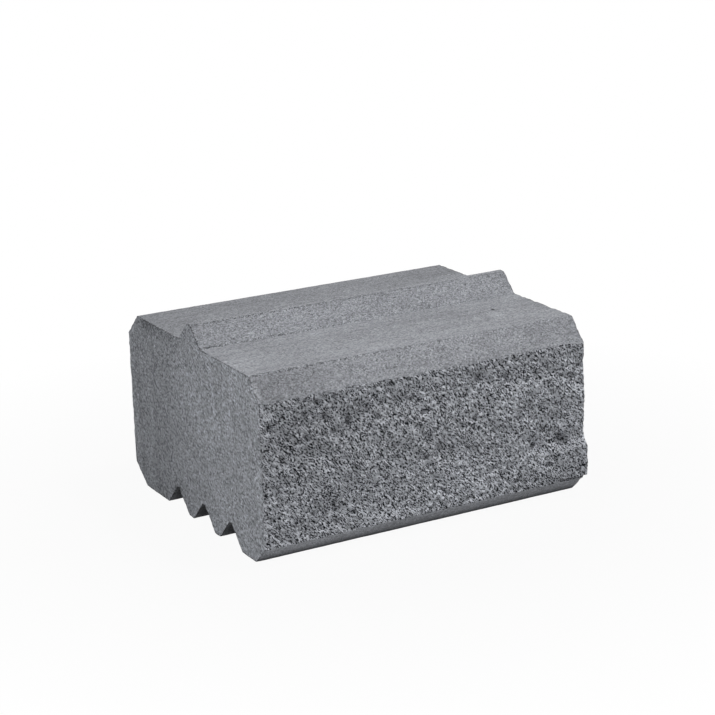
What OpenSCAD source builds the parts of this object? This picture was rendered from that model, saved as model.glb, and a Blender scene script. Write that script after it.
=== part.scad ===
// Retaining wall block: one concrete casting, split along its front.
// The tongue on top seats in a groove under the block above it. The groove
// that is chosen sets how far each course steps back.
// +X runs along the wall, -Y is the split front face, +Z is up.
// The origin is the middle of the block's box, on the ground. The box takes
// in the lump that the split left on the front.

/* [Block] */
// Length along the wall
block_w = 300; // [200:5:450]
// Depth from the split face to the back
block_d = 245; // [240:1:300]
// Height of a course, from bed to bed
block_h = 152; // [110:1:200]

/* [Broken face] */
// How far its broad swells stand out and sink in
break_swell = 1.5; // [0.5:0.25:2.5]
// Length of one swell along the wall
break_wave = 80; // [40:5:150]
// How uneven it is from one facet to the next
break_crumb = 1; // [0:0.25:2]
// Size of one facet
break_facet = 15; // [10:1:25]

/* [Lump] */
// How far the lump stands proud of the split face
lump_reach = 7.5; // [3:0.5:12]
// Width of its foot, in from the end of the block
lump_w = 30; // [20:1:60]
// Height of its foot on the split face
lump_h = 30; // [20:1:50]
// Space between its foot and the lower edge of the split face
lump_above_edge = 1; // [0:0.5:10]
// How far its upper and inner sides draw in from foot to crown
lump_slope = 9; // [2:0.5:12]
// How far its underside draws in from foot to crown
lump_under_slope = 4; // [2:0.5:6]

/* [Grooves] */
// Number of grooves across the bottom bed
groove_count = 3; // [1:1:3]
// Middle of the foremost groove behind the split face
groove_first_y = 60; // [45:0.5:70]
// Spacing from groove to groove
groove_pitch = 49; // [45:0.5:54]
// Width of the mouth
groove_mouth_w = 40; // [34:0.5:43]
// Width of the root
groove_root_w = 4; // [3:0.5:8]
// Height of the root above the bottom bed
groove_h = 18.5; // [12:0.5:22]
// Rounding along both sides of the root
groove_root_r = 1.5; // [0.5:0.5:3]
// Rounding of the teeth at the mouth
groove_lip_r = 4; // [1:0.5:6]

/* [Tongue] */
// Middle of the tongue behind the split face
tongue_y = 121.5; // [90:0.5:150]
// Gap between the tongue and each side of the groove that it seats in
tongue_side_gap = 0.5; // [0.5:0.25:1.5]
// Gap between the tongue's crest and the root of that groove
tongue_crest_gap = 2; // [1.5:0.25:4]
// Rounding of its crest
tongue_crest_r = 3.5; // [1:0.5:5]
// Fillet where it meets the bed
tongue_foot_r = 5; // [1:0.5:8]

/* [Long edges] */
// Top front chamfer: how far it runs back over the top bed
top_front_run = 17; // [8:0.5:30]
// Top front chamfer: how far it drops down the split face
top_front_drop = 19; // [8:0.5:30]
// Top back chamfer: how far it runs forward over the top bed
top_back_run = 20; // [8:0.5:30]
// Top back chamfer: how far it drops down the back
top_back_drop = 19; // [8:0.5:30]
// Bottom back chamfer: how far it runs forward under the block
bottom_back_run = 22; // [8:0.5:30]
// Bottom back chamfer: how far it rises up the back
bottom_back_rise = 17; // [8:0.5:30]
// Bottom front chamfer: how far it runs back under the block
bottom_front_run = 16; // [8:0.5:22]
// Bottom front chamfer: how far it rises up the split face
bottom_front_rise = 15; // [8:0.5:30]
// Rounding of the moulded edges
edge_r = 2.5; // [0.5:0.5:5]

/* [Hidden] */

// Straight strokes in the arc of one rounded corner.
arc_steps = 6;
// How deep the lump is rooted in the block behind the split face.
lump_root = 4;
// What is broken away even where the face stands out most.
break_stock = 0.5;
// Plain margin of the broken face inside its upper and lower edges.
break_margin = 4;
// How far what is broken away reaches past the block.
break_past = 5;
// How far a corner of a facet is moved within the face, in facets.
break_shift = 0.25;
// Which throw of uneven facets is taken.
break_seed = 7;
// The main hollows, as places along and up the wall, radius and depth. A
// depth under nothing stands out.
break_hollows = [
    [-130, 100, 26, 2.5],
    [-100, 122, 20, 3],
    [-68, 104, 18, 4],
    [-90, 30, 22, 2.5],
    [5, 72, 24, 2.5],
    [15, 30, 18, 2],
    [50, 90, 22, 2.5],
    [52, 118, 18, 3.5],
    [76, 113, 16, 3],
    [102, 52, 18, 3],
    [128, 56, 18, 3.5],
    [150, 72, 26, -3],
];

// The lump is part of the overall depth, which the origin halves.
back = (block_d + lump_reach) / 2;
front = back - block_d;

// The broken face is a net of corners, one facet apart, that runs past the
// block all round.
break_low = bottom_front_rise + break_margin;
break_high = block_h - top_front_drop - break_margin;
break_columns = round(block_w / break_facet);
break_rows = round((break_high - break_low) / break_facet);
break_throw = rands(-1, 1, 3 * (break_columns + 1) * (break_rows + 3), break_seed);
// How far the block would reach with nothing broken away.
break_proud = -min([for (h = break_hollows) h[3]]);
break_reach = break_swell + break_crumb + break_proud + break_stock;

// The tongue is the shape of a groove, less its gaps.
groove_run_per_rise = (groove_mouth_w - groove_root_w) / 2 / groove_h;
tongue_mid = front + tongue_y;
tongue_h = groove_h - tongue_crest_gap;
tongue_top = block_h + tongue_h;
tongue_foot = groove_mouth_w / 2 - tongue_side_gap;
tongue_crest = tongue_foot - tongue_h * groove_run_per_rise;

// Corners of the end profile as [y, z, rounding], clockwise seen from -X.
tongue_corners = [
    [tongue_mid - tongue_foot, block_h, tongue_foot_r],
    [tongue_mid - tongue_crest, tongue_top, tongue_crest_r],
    [tongue_mid + tongue_crest, tongue_top, tongue_crest_r],
    [tongue_mid + tongue_foot, block_h, tongue_foot_r],
];
groove_corners = [
    for (i = [groove_count - 1 : -1 : 0])
        let (mid = front + groove_first_y + i * groove_pitch)
            each [
                [mid + groove_mouth_w / 2, 0, groove_lip_r],
                [mid + groove_root_w / 2, groove_h, groove_root_r],
                [mid - groove_root_w / 2, groove_h, groove_root_r],
                [mid - groove_mouth_w / 2, 0, groove_lip_r],
            ]
];
profile_corners = [
    [front + bottom_front_run, 0, edge_r],
    [
        front - break_reach,
        bottom_front_rise * (1 + break_reach / bottom_front_run),
        0,
    ],
    [
        front - break_reach,
        block_h - top_front_drop * (1 + break_reach / top_front_run),
        0,
    ],
    [front + top_front_run, block_h, edge_r],
    each tongue_corners,
    [back - top_back_run, block_h, edge_r],
    [back, block_h - top_back_drop, edge_r],
    [back, bottom_back_rise, edge_r],
    [back - bottom_back_run, 0, edge_r],
    each groove_corners,
];

function yz(corner) = [corner[0], corner[1]];
function direction(from, to) = (to - from) / norm(to - from);
function angle_of(v) = atan2(v[1], v[0]);
// Shortest turn from one angle to another, from -180 to 180.
function turn(from, to) = (to - from + 540) % 360 - 180;

// The arc that rounds corner b, tangent to its sides towards a and c.
function corner_arc(a, b, c, r) =
    let (
        to_a = direction(b, a),
        to_c = direction(b, c),
        half = acos(to_a * to_c) / 2,
        tip = r / tan(half),
        centre = b + direction([0, 0], to_a + to_c) * r / sin(half),
        start = angle_of(b + to_a * tip - centre),
        sweep = turn(start, angle_of(b + to_c * tip - centre))
    )
    [
        for (k = [0 : arc_steps])
            let (angle = start + sweep * k / arc_steps)
                centre + r * [cos(angle), sin(angle)]
    ];

// The closed outline with every corner rounded.
function rounded(corners) =
    let (n = len(corners))
    [
        for (i = [0 : n - 1])
            let (before = corners[(i + n - 1) % n], after = corners[(i + 1) % n])
                each corners[i][2] == 0
                    ? [yz(corners[i])]
                    : corner_arc(yz(before), yz(corners[i]), yz(after), corners[i][2])
    ];

// Carries an outline in Y and Z along the wall, from x1 to x2.
module along_wall(x1, x2, outline) {
    translate([x1, 0, 0])
        rotate([90, 0, 90])
            linear_extrude(height = x2 - x1)
                polygon(outline);
}

// How deep the main hollows sink a place on the broken face.
function hollow(x, z) =
    let (
        sinks = [
            for (h = break_hollows)
                h[3] * max(0, 1 - norm([x - h[0], z - h[1]]) / h[2])
        ]
    )
        max(sinks) + min(0, min(sinks));

function swell(x, z) =
    break_swell / 2 * (sin(360 * x / break_wave + z) + cos(360 * z / break_wave - x));

// One corner of the broken face. The rows past the block and the ones at the
// margins are straight and lie in the plane of the split.
function broken(i, j) =
    let (
        k = 3 * (i * (break_rows + 3) + j),
        plain = j < 2 || j > break_rows,
        outer = i == 0 || i == break_columns,
        column = i + (outer ? 0 : break_shift * break_throw[k]),
        row = j - 1 + (plain ? 0 : break_shift * break_throw[k + 1]),
        x = (block_w + 2 * break_past) * (column / break_columns - 1 / 2),
        z = j == 0 ? bottom_front_rise - break_past
            : j == break_rows + 2 ? block_h - top_front_drop + break_past
            : break_low + (break_high - break_low) * row / break_rows,
        crumb = break_crumb * break_throw[k + 2]
    )
        [x, front - (plain ? 0 : swell(x, z) + crumb - hollow(x, z)), z];

// What is broken away in front of the block, with the broken face as its back.
module broken_away() {
    side = break_rows + 3;
    net = [for (i = [0 : break_columns], j = [0 : side - 1]) broken(i, j)];
    r = len(net);
    out = block_w / 2 + break_past;
    low = bottom_front_rise - break_past;
    high = block_h - top_front_drop + break_past;
    air = front - 2 * break_reach;
    facets = [
        for (i = [0 : break_columns - 1], j = [0 : side - 2])
            let (a = i * side + j, b = a + 1, c = b + side, d = a + side)
                each (i + j) % 2 == 0 ? [[a, d, c], [a, c, b]] : [[a, d, b], [d, c, b]]
    ];
    left_end = [r, for (j = [0 : side - 1]) j, r + 3];
    right_end = [r + 1, r + 2, for (j = [side - 1 : -1 : 0]) break_columns * side + j];
    top = [r + 3, for (i = [0 : break_columns]) (i + 1) * side - 1, r + 2];
    underside = [r, r + 1, for (i = [break_columns : -1 : 0]) i * side];
    polyhedron(
        [each net, [-out, air, low], [out, air, low], [out, air, high], [-out, air, high]],
        [each facets, left_end, right_end, top, underside, [r, r + 3, r + 2, r + 1]]
    );
}

// The proud lump at one end of the split face. Its end profile is cut back
// towards the middle of the wall by the same slope as its upper side.
module lump() {
    foot = bottom_front_rise + lump_above_edge;
    outer = block_w / 2;
    inner = outer - lump_w;
    crown = front - lump_reach;
    root = front + lump_root;
    intersection() {
        along_wall(inner, outer, [
            [root, foot],
            [front, foot],
            [crown, foot + lump_under_slope],
            [crown, foot + lump_h - lump_slope],
            [front, foot + lump_h],
            [root, foot + lump_h],
        ]);
        translate([0, 0, foot])
            linear_extrude(height = lump_h)
                polygon([
                    [inner, root],
                    [inner, front],
                    [inner + lump_slope, crown],
                    [outer, crown],
                    [outer, root],
                ]);
    }
}

// One casting: the end profile carried along the wall, broken away in front,
// with its lump.
module block() {
    color([0.55, 0.56, 0.57]) {
        difference() {
            along_wall(-block_w / 2, block_w / 2, rounded(profile_corners));
            broken_away();
        }
        lump();
    }
}

block();
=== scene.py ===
"""A split-face retaining wall block: one casting of vibro-pressed concrete, lying on a pale floor.

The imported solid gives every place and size. The block is drawn from the outline of that solid's
left end, ruled finely enough to carry its relief, and then broken, crumbled and rubbed.
"""
import math

import bmesh
import bpy
from mathutils import Matrix, Vector


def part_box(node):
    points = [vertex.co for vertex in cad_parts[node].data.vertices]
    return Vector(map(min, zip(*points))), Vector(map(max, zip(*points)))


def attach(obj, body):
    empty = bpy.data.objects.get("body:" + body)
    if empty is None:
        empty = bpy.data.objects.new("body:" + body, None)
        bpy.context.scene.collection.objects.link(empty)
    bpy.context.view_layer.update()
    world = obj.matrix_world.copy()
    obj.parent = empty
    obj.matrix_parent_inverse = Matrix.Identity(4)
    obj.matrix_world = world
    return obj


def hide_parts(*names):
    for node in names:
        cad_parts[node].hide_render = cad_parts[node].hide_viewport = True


MM = 0.001

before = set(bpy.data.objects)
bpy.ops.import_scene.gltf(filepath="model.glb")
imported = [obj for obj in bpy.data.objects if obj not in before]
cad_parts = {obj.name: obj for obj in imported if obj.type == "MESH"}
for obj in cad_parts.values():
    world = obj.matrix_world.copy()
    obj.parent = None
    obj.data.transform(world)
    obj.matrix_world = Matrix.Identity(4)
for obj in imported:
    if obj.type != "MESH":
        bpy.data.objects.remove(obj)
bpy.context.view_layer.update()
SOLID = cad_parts["block"]
BLOCK_LOW, BLOCK_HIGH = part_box("block")
MIDDLE = (BLOCK_LOW + BLOCK_HIGH) / 2
LENGTH = BLOCK_HIGH.x - BLOCK_LOW.x

# The course is this high without the tongue. Above and below the split face a moulded chamfer runs
# back from it by so much, and rises or drops by so much. All in millimetres.
COURSE = 152
TOP_RUN, TOP_RISE = 17, 19
BOTTOM_RUN, BOTTOM_DROP = 16, 15
SPLIT_TOP = BLOCK_LOW.z + (COURSE - TOP_RISE) * MM
SPLIT_BOTTOM = BLOCK_LOW.z + BOTTOM_DROP * MM

# Points nearer than this are one point.
SAME_PLACE = 0.01 * MM
SPLIT_Y = min(
    v.co.y
    for v in SOLID.data.vertices
    if abs(v.co.x - BLOCK_LOW.x) < SAME_PLACE and abs(v.co.z - SPLIT_TOP) < SAME_PLACE
)

# No part of the solid's broken face lies further than this from the plane of the split.
BREAK_REACH = 8 * MM

# The block is ruled into squares of this width, and each square of the split is cut again both
# ways. A narrow bevel, the arris, goes round both ends.
RULE = 3.75 * MM
SPLIT_CUTS = 4
ARRIS = 0.3 * MM

# A line closer than this to a corner of the outline is drawn through that corner.
RULE_SNAP = 0.4 * MM

# Facets that meet at less than the first angle are one flat face, and faces that meet at less than
# the second are shaded as one surface.
FLAT_ANGLE = math.radians(5)
SMOOTH_ANGLE = math.radians(28)

# A face whose normal has more than the first share along an axis faces that way, and one with less
# than the second lies along it.
FACING, ACROSS = 0.98, 0.1

# The split tore on a slant, from the upper left to the lower right of the face. The sand on the
# ends was dragged on a slant too, back and a little up.
TEAR_ANGLE = math.radians(-50)
TEAR_STRETCH = (0.4, 1, 1)
END_SLANT = math.radians(-34)

# What the break is made of, as widths in millimetres: crumbs, whole stones and grit. The crumbs
# go in and out from the solid's facets by so much.
CRUMB_SIZE, STONE_SIZE, GRIT_SIZE = 9, 1.9, 1.6
CRUMB_IN, CRUMB_OUT = -2.2, 1.9

# How many rounds of blurring wear the solid's facets soft.
FACET_WEAR = 12

# How near its top and bottom edges the split holds its grains back, and to which share of their
# height.
RIM_WIDTH = 2 * MM
RIM_SHARE = 0.45

# Where the solid's own lump ends, along and up.
LUMP_SIDE = BLOCK_HIGH.x - 31 * MM
LUMP_TOP = BLOCK_LOW.z + 47 * MM

# The lump drawn in its stead rises from the first to the second place of each pair, in millimetres
# from the block's middle and from the floor. It stands out to its reach, and its grains stop at
# the limit, which keeps them inside the solid's box.
LUMP_ALONG = (114, 138)
LUMP_UNDER = (15.5, 20)
LUMP_OVER = (54, 42)
LUMP_REACH = 7.0
LUMP_LIMIT = 7.4

# The cast faces are rubbed and their edges bitten in patches as wide as this, and as deep as this at
# the most, in millimetres.
RUB_SIZE, BITE_SIZE = 9, 5
RUB_DEPTH, BITE_DEPTH = 0.2, 0.9

# How the depths of the split are measured: a name, and how many rounds of blurring make the level
# that each point is compared with. A pit is a few millimetres wide, and a hollow about four times
# that.
DEPTHS = (("pit", 8), ("hollow", 120))

# The deeper hollows of the split, in millimetres: along, up, half their length and width, their
# slant in degrees from level, and how far they go in.
HOLLOWS = (
    (-109, 130, 2, 2, 0, 2.0),
    (-98, 125, 5, 3, -40, 3.0),
    (-84, 128, 2.5, 2, 0, 2.2),
    (-71, 105, 5, 3, -70, 3.5),
    (-108, 98, 4, 3.5, 0, 2.5),
    (-140, 112, 4, 3, 0, 2.0),
    (-85, 100, 3, 3, 0, 2.2),
    (-92, 113, 3.5, 3, 0, 2.2),
    (-45, 104, 3, 3, 0, 2.2),
    (-15, 113, 3, 2.5, 0, 2.0),
    (-5, 101, 3, 2.5, 0, 2.2),
    (2, 79, 2, 2, 0, 1.8),
    (22, 64, 2.5, 2.5, 0, 2.0),
    (33, 82, 5, 2.5, -45, 2.5),
    (45, 86, 3, 2.5, 0, 2.2),
    (50, 119, 6, 5, 0, 2.0),
    (57, 128, 2.5, 2, 0, 2.2),
    (75, 115, 5, 2.5, -45, 2.8),
    (94, 109, 2.5, 2.5, 0, 2.0),
    (50, 108, 2.5, 2.5, 0, 2.0),
    (50, 54, 2, 2, 0, 1.8),
    (102, 52, 3.5, 3, 0, 2.5),
    (115, 32, 3.5, 3, 0, 2.5),
    (84, 25, 4, 2.5, 45, 2.2),
    (131, 51, 8, 4.5, -55, 4.0),
    (-70, 30, 3, 2.5, 0, 2.0),
    (-105, 36, 3, 2.5, 0, 2.0),
    (-85, 35, 2.5, 2.5, 0, 2.0),
    (-85, 25, 3, 2.5, 0, 2.0),
    (-54, 25, 3, 2.5, 0, 2.0),
    (-100, 23, 3, 2.5, 0, 2.0),
    (15, 30, 7, 2, -35, 2.0),
    (3, 34, 2.5, 2.5, 0, 2.0),
    (37, 20, 3, 2.5, 0, 2.0),
    (63, 40, 3, 2.5, 0, 2.0),
    (146, 108, 8, 12, 0, 1.2),
)


def linear(hex_colour):
    """An sRGB colour such as "#94969a" as the linear RGBA that a shader takes."""
    parts = [int(hex_colour[i:i + 2], 16) / 255 for i in (1, 3, 5)]
    bent = [c / 12.92 if c <= 0.04045 else ((c + 0.055) / 1.055) ** 2.4 for c in parts]
    return (*bent, 1.0)


def add(tree, kind, inputs=None, **settings):
    """Adds a node to a tree with its settings; an input is a plain value or another node's socket."""
    made = tree.nodes.new(kind)
    for name, value in settings.items():
        setattr(made, name, value)
    for name, value in (inputs or {}).items():
        if isinstance(value, bpy.types.NodeSocket):
            tree.links.new(value, made.inputs[name])
        else:
            made.inputs[name].default_value = value
    return made


def per_grain(size):
    """The scale that gives a pattern in object coordinates a grain of this many millimetres."""
    return 1 / (size * MM)


def dab(tree, at, place, reach, slant=0.0):
    """A soft round dab, 1 round its place and fading to 0 a little past its reach.

    It may be slanted in the plane of the split. With a reach of 0 it is the same all along that axis.
    """
    here = add(tree, "ShaderNodeVectorMath", {0: at, 1: place}, operation="SUBTRACT").outputs[0]
    if slant:
        here = add(
            tree,
            "ShaderNodeVectorRotate",
            {"Vector": here, "Angle": math.radians(slant)},
            rotation_type="Y_AXIS",
        ).outputs[0]
    shares = tuple(1 / r if r else 0.0 for r in reach)
    here = add(tree, "ShaderNodeVectorMath", {0: here, 1: shares}, operation="MULTIPLY").outputs[0]
    away = add(tree, "ShaderNodeVectorMath", {0: here}, operation="LENGTH").outputs["Value"]
    return add(
        tree,
        "ShaderNodeMapRange",
        {0: away, 1: 0.3, 2: 1.3, 3: 1.0, 4: 0.0},
        interpolation_type="SMOOTHSTEP",
    ).outputs[0]


def dragged(tree, at, axis, angle, stretch):
    """Coordinates turned about an axis and drawn out, so that the grains in them lie on a slant."""
    turned = add(
        tree, "ShaderNodeVectorRotate", {"Vector": at, "Angle": angle}, rotation_type=axis
    ).outputs[0]
    return add(tree, "ShaderNodeVectorMath", {0: turned, 1: stretch}, operation="MULTIPLY").outputs[0]


# ---------------------------------------------------------------- the blank


def pick(piece, kind, wanted):
    """In edit mode, selects only those verts, edges or faces of a piece that `wanted` says yes to."""
    bpy.ops.mesh.select_mode(type={"verts": "VERT", "edges": "EDGE", "faces": "FACE"}[kind])
    bpy.ops.mesh.select_all(action="DESELECT")
    drawn = bmesh.from_edit_mesh(piece.data)
    for item in getattr(drawn, kind):
        if wanted(item):
            item.select_set(True)
    bmesh.update_edit_mesh(piece.data, loop_triangles=False, destructive=False)


def take_outline(solid):
    """A new piece in edit mode, holding the left end of the solid as one flat face."""
    bpy.ops.object.select_all(action="DESELECT")
    piece = bpy.data.objects.new("cast_block", solid.data.copy())
    bpy.context.scene.collection.objects.link(piece)
    piece.select_set(True)
    bpy.context.view_layer.objects.active = piece
    bpy.ops.object.mode_set(mode="EDIT")
    bpy.ops.mesh.select_all(action="SELECT")
    bpy.ops.mesh.remove_doubles(threshold=SAME_PLACE)
    pick(piece, "faces", lambda f: max(v.co.x for v in f.verts) > BLOCK_LOW.x + SAME_PLACE)
    bpy.ops.mesh.delete(type="FACE")
    bpy.ops.mesh.select_all(action="SELECT")
    bpy.ops.mesh.dissolve_limited(angle_limit=FLAT_ANGLE)
    return piece


def straighten_split(piece):
    """Takes the broken line out of the end, so that its front runs straight from edge to edge."""
    pick(
        piece,
        "verts",
        lambda v: v.co.y < SPLIT_Y + BREAK_REACH
        and SPLIT_BOTTOM + SAME_PLACE < v.co.z < SPLIT_TOP - SAME_PLACE,
    )
    bpy.ops.mesh.dissolve_verts()


def soften_end_arris():
    """Insets the end and pushes it out, which leaves a narrow bevel all round it."""
    bpy.ops.mesh.select_mode(type="FACE")
    bpy.ops.mesh.select_all(action="SELECT")
    bpy.ops.transform.translate(value=(ARRIS, 0, 0))
    bpy.ops.mesh.inset(thickness=ARRIS, depth=ARRIS)


def rule_end():
    """Rules the end into squares, so that the sides drawn from it are ruled at the same places."""
    for first, last, across in (
        (SPLIT_Y + RULE, BLOCK_HIGH.y, Vector((0, 1, 0))),
        (BLOCK_LOW.z + RULE, BLOCK_HIGH.z, Vector((0, 0, 1))),
    ):
        for line in range(math.ceil((last - first) / RULE)):
            bpy.ops.mesh.select_all(action="SELECT")
            at = across * (first + line * RULE)
            bpy.ops.mesh.bisect(plane_co=at, plane_no=across, threshold=RULE_SNAP)


def draw_to_length(piece):
    """Draws the ruled end out to the block's length, turns its far arris outwards, rules the length."""
    bpy.ops.mesh.select_mode(type="FACE")
    bpy.ops.mesh.select_all(action="SELECT")
    run = LENGTH - 2 * ARRIS
    bpy.ops.mesh.extrude_region_move(TRANSFORM_OT_translate={"value": (run, 0, 0)})
    sunk = BLOCK_LOW.x + run
    pick(piece, "verts", lambda v: abs(v.co.x - sunk) < SAME_PLACE)
    bpy.ops.transform.translate(value=(2 * ARRIS, 0, 0))
    bpy.ops.mesh.select_all(action="SELECT")
    bpy.ops.mesh.normals_make_consistent(inside=False)
    pick(piece, "edges", lambda e: abs(e.verts[0].co.x - e.verts[1].co.x) > LENGTH / 2)
    bpy.ops.mesh.subdivide(number_cuts=round(LENGTH / RULE) - 1)


def on_split(item):
    """Whether a face or a vertex lies in the plane of the split."""
    verts = getattr(item, "verts", (item,))
    return all(abs(v.co.y - SPLIT_Y) < SAME_PLACE for v in verts)


def on_end(item):
    """Whether a face or a vertex lies in either end."""
    verts = getattr(item, "verts", (item,))
    return all(abs(abs(v.co.x) - LENGTH / 2) < SAME_PLACE for v in verts)


def on_arris(vert):
    """Whether a vertex lies on the narrow bevel round either end."""
    if LENGTH / 2 - abs(vert.co.x) >= ARRIS + SAME_PLACE:
        return False
    return any(len(f.verts) == 4 and abs(f.normal.x) > ACROSS and not on_end(f) for f in vert.link_faces)


def name_verts(piece, name, wanted):
    """Keeps a set of the piece's vertices under a name, for the relief to find."""
    pick(piece, "verts", wanted)
    bpy.ops.object.vertex_group_add()
    piece.vertex_groups.active.name = name
    bpy.ops.object.vertex_group_assign()


def draw_blank(solid):
    """The plain block: the solid's outline drawn out, sharp at the split and ruled all over."""
    piece = take_outline(solid)
    straighten_split(piece)
    soften_end_arris()
    rule_end()
    draw_to_length(piece)
    pick(piece, "faces", on_split)
    bpy.ops.mesh.subdivide(number_cuts=SPLIT_CUTS)
    name_verts(piece, "split", on_split)
    name_verts(piece, "arris", on_arris)
    return piece


# ---------------------------------------------------------------- the relief


def solid_facets(tree, along, up, split):
    """How far the solid's own broken facets stand out of the split plane, worn soft.

    They are met by rays shot at the solid from in front. Its lump is left out, since it is drawn
    apart. All heights of the relief are in millimetres.
    """
    start = add(tree, "ShaderNodeCombineXYZ", {0: along, 1: SPLIT_Y - 2 * BREAK_REACH, 2: up})
    solid = add(tree, "GeometryNodeObjectInfo", {"Object": SOLID}, transform_space="RELATIVE")
    met = add(
        tree,
        "GeometryNodeRaycast",
        {
            "Target Geometry": solid.outputs["Geometry"],
            "Source Position": start.outputs[0],
            "Ray Direction": (0, 1, 0),
        },
    ).outputs["Hit Position"]
    met = add(tree, "ShaderNodeSeparateXYZ", {0: met}).outputs[1]
    swell = add(tree, "ShaderNodeMath", {0: SPLIT_Y, 1: met}, operation="SUBTRACT").outputs[0]
    swell = add(tree, "ShaderNodeMath", {0: swell, 1: 1 / MM}, operation="MULTIPLY").outputs[0]
    beside = add(tree, "ShaderNodeMath", {0: along, 1: LUMP_SIDE}, operation="LESS_THAN").outputs[0]
    above = add(tree, "ShaderNodeMath", {0: up, 1: LUMP_TOP}, operation="GREATER_THAN").outputs[0]
    clear = add(tree, "ShaderNodeMath", {0: beside, 1: above}, operation="MAXIMUM").outputs[0]
    swell = add(tree, "ShaderNodeMath", {0: swell, 1: clear}, operation="MULTIPLY").outputs[0]
    swell = add(tree, "ShaderNodeMath", {0: swell, 1: split}, operation="MULTIPLY").outputs[0]
    return add(tree, "GeometryNodeBlurAttribute", {"Value": swell, "Iterations": FACET_WEAR}).outputs[0]


def crumbs_and_grains(tree, at):
    """How far the crumbs of the break stand out, and how far the single grains do on them."""
    torn = dragged(tree, at, "Y_AXIS", TEAR_ANGLE, TEAR_STRETCH)
    crumb = add(tree, "ShaderNodeTexNoise", {"Vector": torn, "Scale": per_grain(CRUMB_SIZE), "Detail": 2.0})
    stone = add(tree, "ShaderNodeTexVoronoi", {"Vector": torn, "Scale": per_grain(STONE_SIZE)})
    grit = add(tree, "ShaderNodeTexNoise", {"Vector": torn, "Scale": per_grain(GRIT_SIZE), "Detail": 1.0})
    own = add(tree, "ShaderNodeSeparateXYZ", {0: stone.outputs["Color"]})
    dome = add(tree, "ShaderNodeMath", {0: stone.outputs["Distance"], 1: 2.0}, operation="POWER")
    crumbs = add(
        tree, "ShaderNodeMapRange", {0: crumb.outputs[0], 3: CRUMB_IN, 4: CRUMB_OUT}, clamp=False
    ).outputs[0]
    # Each stone has a height of its own and a domed top, and grit lies over them all.
    grains = 0.0
    for height, low, high in ((own, -0.4, 0.25), (dome, 0.3, -0.9), (grit, -0.7, 0.7)):
        part = add(
            tree, "ShaderNodeMapRange", {0: height.outputs[0], 3: low, 4: high}, clamp=False
        ).outputs[0]
        grains = add(tree, "ShaderNodeMath", {0: grains, 1: part}).outputs[0]
    return crumbs, grains


def away_from_rim(tree, up):
    """1 on the split, and less at its top and bottom edges, where whole grains have broken away."""
    middle, rim = (SPLIT_TOP + SPLIT_BOTTOM) / 2, (SPLIT_TOP - SPLIT_BOTTOM) / 2
    off = add(tree, "ShaderNodeMath", {0: up, 1: middle}, operation="SUBTRACT").outputs[0]
    off = add(tree, "ShaderNodeMath", {0: off}, operation="ABSOLUTE").outputs[0]
    return add(
        tree, "ShaderNodeMapRange", {0: off, 1: rim - RIM_WIDTH, 2: rim, 3: 1.0, 4: RIM_SHARE}
    ).outputs[0]


def lump_share(tree, along, up):
    """1 on the crown of the lump at the lower right corner, and 0 clear of it."""
    share = 1.0
    for place, (near, far) in ((along, LUMP_ALONG), (up, LUMP_UNDER), (up, LUMP_OVER)):
        part = add(
            tree,
            "ShaderNodeMapRange",
            {0: place, 1: near * MM, 2: far * MM},
            interpolation_type="SMOOTHSTEP",
        ).outputs[0]
        share = add(tree, "ShaderNodeMath", {0: share, 1: part}, operation="MULTIPLY").outputs[0]
    return share


def broken_offset(tree, at, along, up, split):
    """Where the break moves each point of the split plane to, as an offset in millimetres."""
    swell = solid_facets(tree, along, up, split)
    crumbs, grains = crumbs_and_grains(tree, at)
    base = add(tree, "ShaderNodeMath", {0: crumbs, 1: swell}).outputs[0]
    out = add(
        tree,
        "ShaderNodeMath",
        {0: grains, 1: away_from_rim(tree, up), 2: base},
        operation="MULTIPLY_ADD",
    ).outputs[0]
    for x, z, half_length, half_width, slant, depth in HOLLOWS:
        place = (x * MM, 0, BLOCK_LOW.z + z * MM)
        sunk = dab(tree, at, place, (half_length * MM, 0, half_width * MM), slant)
        out = add(
            tree, "ShaderNodeMath", {0: sunk, 1: -depth, 2: out}, operation="MULTIPLY_ADD"
        ).outputs[0]
    lump = lump_share(tree, along, up)
    out = add(
        tree, "ShaderNodeMath", {0: lump, 1: LUMP_REACH, 2: out}, operation="MULTIPLY_ADD"
    ).outputs[0]
    out = add(tree, "ShaderNodeMath", {0: out, 1: LUMP_LIMIT}, operation="MINIMUM").outputs[0]

    # At the split's top and bottom edges the broken line runs along the chamfers' own planes.
    slide = 0.0
    for edge, inside, slope in (
        (SPLIT_TOP, SPLIT_TOP - RULE, -TOP_RISE / TOP_RUN),
        (SPLIT_BOTTOM, SPLIT_BOTTOM + RULE, BOTTOM_DROP / BOTTOM_RUN),
    ):
        part = add(tree, "ShaderNodeMapRange", {0: up, 1: inside, 2: edge, 4: slope}).outputs[0]
        slide = add(tree, "ShaderNodeMath", {0: slide, 1: part}).outputs[0]
    raised = add(tree, "ShaderNodeMath", {0: out, 1: slide}, operation="MULTIPLY").outputs[0]
    forward = add(tree, "ShaderNodeMath", {0: out, 1: -1.0}, operation="MULTIPLY").outputs[0]
    broken = add(tree, "ShaderNodeCombineXYZ", {1: forward, 2: raised}).outputs[0]
    return add(tree, "ShaderNodeVectorMath", {0: broken, "Scale": split}, operation="SCALE").outputs[0]


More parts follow.
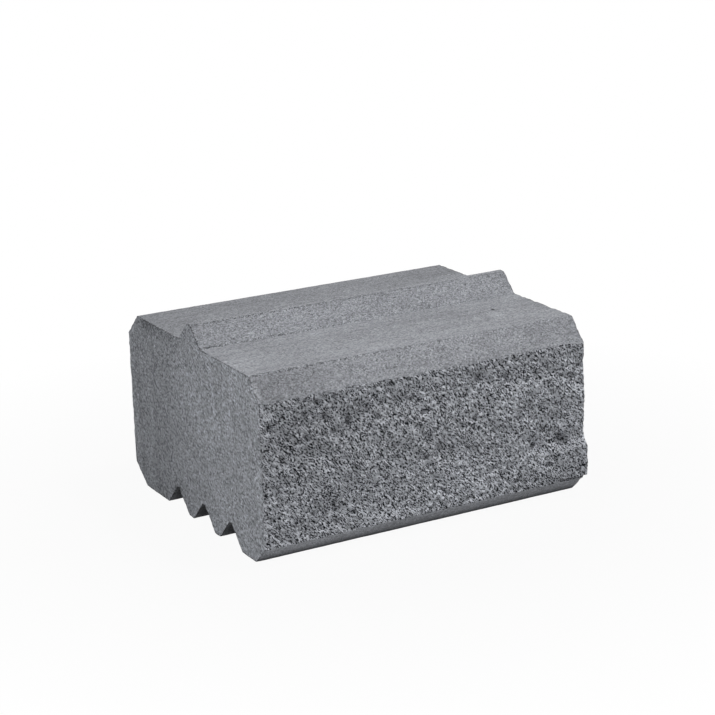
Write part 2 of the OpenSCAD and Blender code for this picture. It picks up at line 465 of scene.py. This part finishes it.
def worn_offset(tree, at, up, split):
    """How the cast faces wear inwards and their edges crumble further, as an offset in millimetres.

    The teeth beside the grooves crumble less than the edges above them.
    """
    rub = add(tree, "ShaderNodeTexNoise", {"Vector": at, "Scale": per_grain(RUB_SIZE), "Detail": 2.0})
    chip = add(tree, "ShaderNodeTexNoise", {"Vector": at, "Scale": per_grain(BITE_SIZE), "Detail": 1.0})
    # Faces that turn by 0.3 of a radian or more at a point make it an edge.
    turned = add(tree, "GeometryNodeInputMeshEdgeAngle").outputs["Unsigned Angle"]
    edge = add(tree, "ShaderNodeMapRange", {0: turned, 1: 0.05, 2: 0.3}).outputs[0]
    bite = add(tree, "ShaderNodeMapRange", {0: chip.outputs[0], 1: 0.45, 2: 0.7, 4: -BITE_DEPTH}).outputs[0]
    bite = add(tree, "ShaderNodeMath", {0: bite, 1: edge}, operation="MULTIPLY").outputs[0]
    above = add(tree, "ShaderNodeMapRange", {0: up, 1: 6 * MM, 2: 12 * MM, 3: 0.3, 4: 1.0}).outputs[0]
    bite = add(tree, "ShaderNodeMath", {0: bite, 1: above}, operation="MULTIPLY").outputs[0]
    depth = add(tree, "ShaderNodeMapRange", {0: rub.outputs[0], 1: 0.3, 2: 0.75, 4: -RUB_DEPTH}).outputs[0]
    depth = add(tree, "ShaderNodeMath", {0: depth, 1: bite}).outputs[0]
    kept = add(tree, "ShaderNodeMath", {0: 1.0, 1: split}, operation="SUBTRACT").outputs[0]
    depth = add(tree, "ShaderNodeMath", {0: depth, 1: kept}, operation="MULTIPLY").outputs[0]
    facing = add(tree, "GeometryNodeInputNormal").outputs[0]
    return add(tree, "ShaderNodeVectorMath", {0: facing, "Scale": depth}, operation="SCALE").outputs[0]


def keep_depths(tree, block, deep, split):
    """Keeps how far each point of the split lies behind the points around it, for the concrete."""
    for name, rounds in DEPTHS:
        level = add(tree, "ShaderNodeMix", {0: split, 2: SPLIT_Y, 3: deep}).outputs[0]
        around = add(tree, "GeometryNodeBlurAttribute", {"Value": level, "Iterations": rounds}).outputs[0]
        behind = add(tree, "ShaderNodeMath", {0: level, 1: around}, operation="SUBTRACT").outputs[0]
        behind = add(tree, "ShaderNodeMath", {0: behind, 1: 1 / MM}, operation="MULTIPLY").outputs[0]
        block = add(
            tree, "GeometryNodeStoreNamedAttribute", {"Geometry": block, "Name": name, "Value": behind}
        ).outputs[0]
    return block


def break_and_rub(piece):
    """Breaks the split face into stones and hollows, and roughens the cast faces a little."""
    tree = bpy.data.node_groups.new("break and rub", "GeometryNodeTree")
    tree.interface.new_socket("Geometry", in_out="INPUT", socket_type="NodeSocketGeometry")
    tree.interface.new_socket("Geometry", in_out="OUTPUT", socket_type="NodeSocketGeometry")
    block = add(tree, "NodeGroupInput").outputs[0]
    at = add(tree, "GeometryNodeInputPosition").outputs[0]
    split = add(tree, "GeometryNodeInputNamedAttribute", {"Name": "split"}).outputs[0]
    along, deep, up = add(tree, "ShaderNodeSeparateXYZ", {0: at}).outputs
    broken = broken_offset(tree, at, along, up, split)
    worn = worn_offset(tree, at, up, split)
    moved = add(tree, "ShaderNodeVectorMath", {0: broken, 1: worn}).outputs[0]
    moved = add(tree, "ShaderNodeVectorMath", {0: moved, "Scale": MM}, operation="SCALE").outputs[0]
    block = add(tree, "GeometryNodeSetPosition", {"Geometry": block, "Offset": moved}).outputs[0]
    add(tree, "NodeGroupOutput", {0: keep_depths(tree, block, deep, split)})

    relief = piece.modifiers.new("relief", "NODES")
    relief.node_group = tree
    bpy.ops.object.modifier_apply(modifier=relief.name)


# ---------------------------------------------------------------- the concrete

# How wide grain is drawn on the split and on the cast faces, in millimetres: the fines, and the
# coarser sand. Real fines are a few tenths of a millimetre and less, too fine to show with the
# whole block in view, so they are drawn as coarse as they need to show.
SPLIT_FINES, SPLIT_SAND = 0.6, 1.2
CAST_FINES, CAST_SAND = 0.85, 1.9

# The depth of the sand's bump in millimetres, and how strongly each grain of the split is tipped.
BUMP_DEPTH = 0.7
GRAIN_TILT = 1.2

# How strongly the tones of single grains and of the sand differ on the cast faces.
FINES_CONTRAST, SAND_CONTRAST = 0.65, 0.15

# How wide the draw marks and the clouds of the cast faces are, in millimetres.
STREAK_SIZE, CLOUD_SIZE = 6, 40

# The crumbled lines along the cast edges, in millimetres: how long their waves are, how far they
# wander, and how far they reach to either side. They are strongest up to the first place along the
# block and weakest from the second.
WAVE_SIZE, WANDER, LINE_REACH = 3, 2.6, 1.6
LINE_FADE = (-60, 40)


def start_material(name):
    """An empty material with its shader in place; the tree, the shader and the object's coordinates."""
    made = bpy.data.materials.new(name)
    made.use_nodes = True
    tree = made.node_tree
    tree.nodes.clear()
    shader = add(
        tree, "ShaderNodeBsdfPrincipled", {"Roughness": 0.92, "IOR": 1.5, "Specular IOR Level": 0.25}
    )
    add(tree, "ShaderNodeOutputMaterial", {"Surface": shader.outputs[0]})
    at = add(tree, "ShaderNodeTexCoord").outputs["Object"]
    return made, tree, shader, at


def times(tree, parts):
    """Multiplies patterns together, each first mapped from its own range to a range of tones.

    A part is a pattern, the low and the high end of its range, and the tones those ends become.
    """
    product = 1.0
    for pattern, low, high, from_tone, to_tone in parts:
        tone = add(
            tree, "ShaderNodeMapRange", {0: pattern, 1: low, 2: high, 3: from_tone, 4: to_tone}
        ).outputs[0]
        product = add(tree, "ShaderNodeMath", {0: product, 1: tone}, operation="MULTIPLY").outputs[0]
    return product


def marked(tree, at, marks):
    """The tones of a list of marks, as parts for `times`."""
    return [
        (dab(tree, at, [c * MM for c in place], [r * MM for r in reach]), 0.0, 1.0, 1.0, tone)
        for place, reach, tone in marks
    ]


def split_concrete(marks):
    """Broken dry-cast concrete: crushed fines and sand torn through the paste, matt and sharp-grained.

    Every grain is a facet of its own tone and tilt, and the paste between the grains lies in shade.
    """
    made, tree, shader, at = start_material("split dry-cast concrete")
    torn = dragged(tree, at, "Y_AXIS", TEAR_ANGLE, TEAR_STRETCH)
    grain = add(tree, "ShaderNodeTexVoronoi", {"Vector": torn, "Scale": per_grain(SPLIT_FINES)})
    own = add(tree, "ShaderNodeSeparateXYZ", {0: grain.outputs["Color"]}).outputs
    stone = add(tree, "ShaderNodeTexVoronoi", {"Vector": torn, "Scale": per_grain(SPLIT_SAND)})
    whole = add(tree, "ShaderNodeSeparateXYZ", {0: stone.outputs["Color"]}).outputs[0]
    whole = add(tree, "ShaderNodeMapRange", {0: whole, 1: 0.42, 2: 0.47}).outputs[0]
    pore = add(tree, "ShaderNodeMapRange", {0: stone.outputs["Distance"], 1: 0.28, 2: 0.48}).outputs[0]
    pore = add(tree, "ShaderNodeMath", {0: pore, 1: whole}, operation="MAXIMUM").outputs[0]
    pit = add(tree, "ShaderNodeAttribute", attribute_name="pit").outputs["Fac"]
    hollow = add(tree, "ShaderNodeAttribute", attribute_name="hollow").outputs["Fac"]
    # In turn: dark grains among light ones, their own greys, the shade round each, the pores in
    # place of some stones, and the shade that lies in the pits and hollows of the relief.
    light = times(
        tree,
        (
            (own[0], 0.23, 0.34, -0.1, 1.08),
            (own[2], 0.0, 0.5, 0.75, 1.1),
            (grain.outputs["Distance"], 0.3, 0.9, 1.0, 0.8),
            (pore, 0.0, 1.0, -0.35, 1.3),
            (pit, -0.5, 0.9, 1.05, 0.7),
            (hollow, -1.0, 2.5, 1.12, 0.55),
        ),
    )
    colour = add(
        tree,
        "ShaderNodeMix",
        {0: light, 6: linear("#101216"), 7: linear("#cfd2d9")},
        data_type="RGBA",
    ).outputs[2]
    shade = times(tree, marked(tree, at, marks))
    colour = add(tree, "ShaderNodeVectorMath", {0: colour, "Scale": shade}, operation="SCALE").outputs[0]
    tree.links.new(colour, shader.inputs["Base Color"])
    sand = add(tree, "ShaderNodeTexNoise", {"Vector": torn, "Scale": per_grain(SPLIT_SAND), "Detail": 2.0})
    bump = add(tree, "ShaderNodeBump", {"Height": sand.outputs[0], "Distance": BUMP_DEPTH * MM}).outputs[0]
    tilt = add(
        tree, "ShaderNodeVectorMath", {0: grain.outputs["Color"], 1: (-0.5, -0.5, -0.5)}
    ).outputs[0]
    tilt = add(tree, "ShaderNodeVectorMath", {0: tilt, "Scale": GRAIN_TILT}, operation="SCALE").outputs[0]
    facet = add(tree, "ShaderNodeVectorMath", {0: bump, 1: tilt}).outputs[0]
    facet = add(tree, "ShaderNodeVectorMath", {0: facet}, operation="NORMALIZE").outputs[0]
    tree.links.new(facet, shader.inputs["Normal"])
    return made


def crumbled_edge(tree, at, arris):
    """1 on the end arrises and on the wandering lines along the cast edges, and 0 away from them."""
    wander = add(tree, "ShaderNodeTexNoise", {"Vector": at, "Scale": per_grain(WAVE_SIZE)}).outputs["Color"]
    wander = add(
        tree,
        "ShaderNodeVectorMath",
        {0: wander, 1: (WANDER * MM,) * 3, 2: at},
        operation="MULTIPLY_ADD",
    ).outputs[0]
    edge = add(tree, "ShaderNodeMapRange", {0: arris, 1: 0.55, 2: 0.85}).outputs[0]
    along = add(tree, "ShaderNodeSeparateXYZ", {0: at}).outputs[0]
    strong, weak = (place * MM for place in LINE_FADE)
    fade = add(tree, "ShaderNodeMapRange", {0: along, 1: strong, 2: weak, 3: 1.0, 4: 0.3}).outputs[0]
    for y, z in EDGES:
        # The noise is about a half on average, so the line is met half the wander further on.
        place = (0, SPLIT_Y + (y + WANDER / 2) * MM, BLOCK_LOW.z + (z + WANDER / 2) * MM)
        line = dab(tree, wander, place, (0, LINE_REACH * MM, LINE_REACH * MM))
        line = add(tree, "ShaderNodeMath", {0: line, 1: fade}, operation="MULTIPLY").outputs[0]
        edge = add(tree, "ShaderNodeMath", {0: edge, 1: line}, operation="MAXIMUM").outputs[0]
    return edge


def cast_concrete(name, skin, draw, lay, sandy, marks):
    """Concrete off the mould: fine cement skin over sand, matt, with the mould's draw marks.

    `skin` is its plain colour. `draw` stretches the mould's marks along the axes that it makes small.
    `lay` does the same to the grains, on the slant of END_SLANT. `sandy` is how strongly the grains
    show. Each of `marks` is a place, a reach and a tone: a stain, a rubbed patch or a pore.
    """
    made, tree, shader, at = start_material(name)
    laid = dragged(tree, at, "X_AXIS", END_SLANT, lay)
    grain = add(tree, "ShaderNodeTexVoronoi", {"Vector": laid, "Scale": per_grain(CAST_FINES)})
    own = add(tree, "ShaderNodeSeparateXYZ", {0: grain.outputs["Color"]}).outputs
    sand = add(tree, "ShaderNodeTexNoise", {"Vector": laid, "Scale": per_grain(CAST_SAND), "Detail": 2.0})
    sand = sand.outputs[0]
    drawn = add(tree, "ShaderNodeVectorMath", {0: at, 1: draw}, operation="MULTIPLY").outputs[0]
    streaks = add(
        tree, "ShaderNodeTexNoise", {"Vector": drawn, "Scale": per_grain(STREAK_SIZE), "Detail": 3.0}
    )
    cloud = add(tree, "ShaderNodeTexNoise", {"Vector": at, "Scale": per_grain(CLOUD_SIZE), "Detail": 2.0})
    arris = add(tree, "ShaderNodeAttribute", attribute_name="arris").outputs["Fac"]
    edge = crumbled_edge(tree, at, arris)
    crumbs = add(tree, "ShaderNodeMapRange", {0: own[1], 1: 0.3, 2: 0.45, 3: 0.3, 4: 1.15}).outputs[0]
    crumbs = add(tree, "ShaderNodeMix", {0: edge, 2: 1.0, 3: crumbs}).outputs[0]
    fines = FINES_CONTRAST * sandy
    coarse = SAND_CONTRAST * sandy
    # In turn: the grains' own greys, a few pores, a few pale grains, the coarser sand, the draw
    # marks, broad clouds, crumbs along the edges, and the shade on the very arris.
    shade = times(
        tree,
        (
            (own[0], 0.0, 1.0, 1 - fines, 1 + fines),
            (own[2], 0.02, 0.08, 0.5, 1.0),
            (own[2], 0.95, 0.98, 1.0, 1.35),
            (sand, 0.25, 0.75, 1 - coarse, 1 + coarse),
            (streaks.outputs[0], 0.25, 0.75, 0.91, 1.09),
            (cloud.outputs[0], 0.25, 0.75, 0.92, 1.08),
            (crumbs, 0.0, 2.0, 0.0, 2.0),
            (arris, 0.75, 1.0, 1.0, 0.6),
            *marked(tree, at, marks),
        ),
    )
    colour = linear(skin)[:3]
    colour = add(tree, "ShaderNodeVectorMath", {0: colour, "Scale": shade}, operation="SCALE").outputs[0]
    tree.links.new(colour, shader.inputs["Base Color"])
    bump = add(tree, "ShaderNodeBump", {"Height": sand, "Distance": BUMP_DEPTH * MM * sandy}).outputs[0]
    tree.links.new(bump, shader.inputs["Normal"])
    return made


# The edges that run along the block's top, back from the split and up from the underside, in
# millimetres: the front chamfer's, the tongue's feet and crest, and the back chamfer's.
EDGES = ((17, 151.8), (101.8, 152.3), (118.6, 168.2), (124.4, 168.2), (141.2, 152.3), (225, 151.8))

# Marks: a place, a reach along each axis (0 where the mark runs right through) and a tone. Places
# are in millimetres from the block's middle, its split plane and its underside.

# Where the broken face as a whole is darker or lighter.
SPLIT_MARKS = (
    ((-150, 0, 82), (60, 0, 30), 0.85),
    ((44, 0, 110), (60, 0, 22), 1.12),
    ((120, 0, 75), (60, 0, 35), 1.2),
    ((-105, 0, 100), (34, 0, 26), 0.84),
    ((20, 0, 36), (90, 0, 24), 1.14),
    # Painted shade in the hollow above the lump.
    ((132, 0, 54), (16, 0, 9), 0.78),
    ((137, 0, 44), (14, 0, 6), 0.72),
    ((-72, 0, 88), (16, 0, 26), 0.86),
    ((104, 0, 26), (12, 0, 8), 1.15),
    ((0, 0, 54), (120, 0, 9), 1.1),
    ((140, 0, 120), (16, 0, 14), 1.15),
)

# The top: broad light and dark patches, with painted shade at the right end and towards the back,
# a rubbed patch with a pit beside it, and two drag lines.
TOP_MARKS = (
    ((-150, 60, 152), (40, 60, 0), 1.12),
    # Painted shade on the right end of the top.
    ((150, 62, 152), (34, 26, 0), 0.84),
    ((-102, 176, 152), (14, 12, 0), 1.12),
    # Painted shade towards the back of the top.
    ((0, 200, 152), (0, 65, 0), 0.86),
    ((130, 205, 152), (50, 20, 0), 0.86),
    ((99, 52, 152), (7, 13, 0), 1.22),
    ((80, 53, 152), (5, 5, 0), 1.18),
    ((106, 69, 152), (1.6, 3.2, 0), 0.1),
    ((0, 66, 152), (0, 2.5, 0), 0.95),
    ((0, 78, 152), (0, 3.5, 0), 0.94),
    ((10, 42, 152), (60, 30, 0), 1.06),
)

# The slopes: the chamfers above and below the split, with painted light on the upper part of the
# lower chamfer and a painted shadow at its foot, painted shade in the grooves, and a crumbled spot at
# the foot of the tongue.
SLOPE_MARKS = (
    ((-150, 8, 142), (5, 16, 16), 1.5),
    ((-150, 8, 142), (75, 20, 20), 0.76),
    # Painted light on the upper part of the lower chamfer.
    ((0, 4, 11), (0, 11, 11), 1.62),
    ((-150, 4, 11), (110, 9, 9), 1.15),
    # Painted shadow at the foot of the lower chamfer, where it meets the floor.
    ((0, 17, 0), (0, 5.6, 5.6), 0.3),
    # Painted shade in the grooves.
    ((0, 109, 9), (0, 76, 8), 0.28),
    ((-140, 102, 152), (16, 2, 2), 0.72),
)

# The left end: painted light on its front, dark streaks and darker patches towards the back, pale
# rubbed strips, a few small pits, a pale grain and a pale corner.
END_MARKS = (
    # Painted light: the front of the end is made lighter.
    ((-150, 40, 0), (0, 105, 0), 1.2),
    ((-150, 197, 0), (0, 5, 0), 0.88),
    ((-150, 228, 0), (0, 4, 0), 0.88),
    ((-150, 190, 152), (0, 50, 12), 0.82),
    ((-150, 200, 8), (0, 80, 22), 0.9),
    ((-150, 182, 80), (0, 16, 70), 0.9),
    ((-150, 160, 28), (0, 70, 20), 0.93),
    ((-150, 81, 100), (0, 5, 14), 1.16),
    ((-150, 52, 112), (0, 2, 9), 1.16),
    ((-150, 133, 115), (0, 1.5, 11), 1.12),
    ((-150, 205, 150), (0, 14, 8), 0.8),
    ((-150, 125, 84), (0, 2, 2), 0.7),
    ((-150, 112, 136), (0, 1.6, 1.6), 0.6),
    ((-150, 73, 106), (0, 1.6, 1.6), 0.6),
    ((-150, 104, 61), (0, 2, 2), 0.7),
    ((-150, 41, 127), (0, 2, 2), 1.3),
    ((-150, 12, 146), (0, 14, 9), 1.1),
)


def from_corner(marks):
    """The same marks with their places counted from the block's middle, split and underside."""
    start = Vector((0, SPLIT_Y, BLOCK_LOW.z)) / MM
    return [(Vector(place) + start, reach, tone) for place, reach, tone in marks]


def finish_faces(piece):
    """Gives the slopes, the level faces, the upright mould walls and the split their own surface."""
    piece.data.materials.clear()
    rubbed = cast_concrete(
        "mould-rubbed concrete", "#93959a", (0.2, 1, 1), (0.8, 1, 1), 0.6, from_corner(SLOPE_MARKS)
    )
    drawn = cast_concrete(
        "float-drawn concrete", "#9a9ca1", (0.07, 1, 1), (0.7, 1, 1), 0.5, from_corner(TOP_MARKS)
    )
    tamped = cast_concrete(
        "tamped concrete", "#a5a8ae", (1, 1, 0.15), (1, 0.5, 1), 1.0, from_corner(END_MARKS)
    )
    split = split_concrete(from_corner(SPLIT_MARKS))
    for index, (surface, wanted) in enumerate(
        (
            (rubbed, lambda f: True),
            (drawn, lambda f: abs(f.normal.z) > FACING),
            (tamped, lambda f: abs(f.normal.z) < ACROSS),
            (split, on_split),
        )
    ):
        piece.data.materials.append(surface)
        pick(piece, "faces", wanted)
        piece.active_material_index = index
        bpy.ops.object.material_slot_assign()
    bpy.ops.mesh.select_all(action="DESELECT")


block = draw_blank(SOLID)
finish_faces(block)
bpy.ops.object.mode_set(mode="OBJECT")
break_and_rub(block)
bpy.ops.object.shade_smooth_by_angle(angle=SMOOTH_ANGLE)
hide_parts("block")
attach(block, "root")

# ---------------------------------------------------------------- the studio

# In metres: the floor's width, and how far from the block's middle it starts to fade and is white.
FLOOR_WIDTH = 14
FLOOR_FADE = (0.2, 0.5)

# How much of the white the floor shows close to the block.
FLOOR_WHITE = 0.95


def whiten(tree, surface, white, share):
    """Shows a surface as white to the camera and in reflections by this share, and plain to light."""
    path = add(tree, "ShaderNodeLightPath")
    seen = path.outputs["Is Camera Ray"]
    for ray in ("Is Glossy Ray", "Is Transmission Ray"):
        seen = add(tree, "ShaderNodeMath", {0: seen, 1: path.outputs[ray]}, operation="MAXIMUM").outputs[0]
    seen = add(tree, "ShaderNodeMath", {0: seen, 1: share}, operation="MULTIPLY").outputs[0]
    return add(tree, "ShaderNodeMixShader", {0: seen, 1: surface, 2: white}).outputs[0]


def lay_floor():
    """A wide pale floor that fades to white away from the block.

    Light meets it as a mid grey, so that it throws little up under the block. To the camera it is
    nearly white, with a faint shadow by the block.
    """
    bpy.ops.mesh.primitive_plane_add(size=FLOOR_WIDTH, location=(MIDDLE.x, MIDDLE.y, BLOCK_LOW.z))
    floor = bpy.context.object
    floor.name = "floor"
    made = bpy.data.materials.new("pale floor")
    made.use_nodes = True
    tree = made.node_tree
    tree.nodes.clear()
    pale = add(tree, "ShaderNodeBsdfDiffuse", {"Color": linear("#848484")}).outputs[0]
    white = add(tree, "ShaderNodeEmission", {"Strength": 1.0}).outputs[0]
    at = add(tree, "ShaderNodeTexCoord").outputs["Object"]
    away = add(tree, "ShaderNodeVectorMath", {0: at}, operation="LENGTH").outputs["Value"]
    near, far = FLOOR_FADE
    share = add(tree, "ShaderNodeMapRange", {0: away, 1: near, 2: far, 3: FLOOR_WHITE, 4: 1.0}).outputs[0]
    seen = whiten(tree, pale, white, share)
    add(tree, "ShaderNodeOutputMaterial", {"Surface": seen})
    floor.data.materials.append(made)


def light_the_air():
    """A surround that gives almost no light of its own, and that the camera sees as white."""
    world = bpy.data.worlds.new("surround")
    bpy.context.scene.world = world
    world.use_nodes = True
    tree = world.node_tree
    tree.nodes.clear()
    plain = add(tree, "ShaderNodeBackground", {"Color": linear("#ffffff"), "Strength": 0.01}).outputs[0]
    white = add(tree, "ShaderNodeBackground", {"Color": linear("#ffffff"), "Strength": 1.0}).outputs[0]
    add(tree, "ShaderNodeOutputWorld", {"Surface": whiten(tree, plain, white, 1.0)})


def hang_lamp(name, at, size, watts):
    """A square soft lamp at a place in metres, turned to the block."""
    lamp = bpy.data.lights.new(name, "AREA")
    lamp.size = size
    lamp.energy = watts
    hung = bpy.data.objects.new(name, lamp)
    bpy.context.scene.collection.objects.link(hung)
    hung.location = at
    hung.rotation_euler = (MIDDLE - hung.location).to_track_quat("-Z", "Y").to_euler()


def set_camera():
    """The camera: a long lens, a little above the block and well round to its left."""
    turn, rise, lean = math.radians(29.08), math.radians(16.71), math.radians(-1.62)
    # In metres: how far the camera stands from the point it looks at, a little off the middle.
    distance = 1.7765
    aim = MIDDLE + Vector((0.0078, 0.0090, 0.0280))
    forward = Vector((math.sin(turn) * math.cos(rise), math.cos(turn) * math.cos(rise), -math.sin(rise)))
    lens = bpy.data.cameras.new("camera")
    lens.lens = 105.95
    lens.sensor_width = 36
    lens.clip_end = 50
    camera = bpy.data.objects.new("camera", lens)
    bpy.context.scene.collection.objects.link(camera)
    camera.location = aim - forward * distance
    level = forward.to_track_quat("-Z", "Y")
    camera.rotation_euler = (level.to_matrix() @ Matrix.Rotation(lean, 3, "Z")).to_euler()
    bpy.context.scene.camera = camera


lay_floor()
light_the_air()
# Each lamp's name, its place and width in metres, and its watts.
hang_lamp("key", (0.6, -0.5, 1.9), 0.5, 27)
hang_lamp("front left fill", (-0.8, -0.8, 0.7), 0.4, 2.5)
hang_lamp("left fill", (-1.8, -0.2, 0.8), 0.8, 8.4)
hang_lamp("low front fill", (-0.4, -2.0, 0.15), 0.4, 7.6)
hang_lamp("back fill", (1.3, 1.7, 0.35), 0.8, 11)
set_camera()
bpy.context.scene.view_settings.view_transform = "Standard"
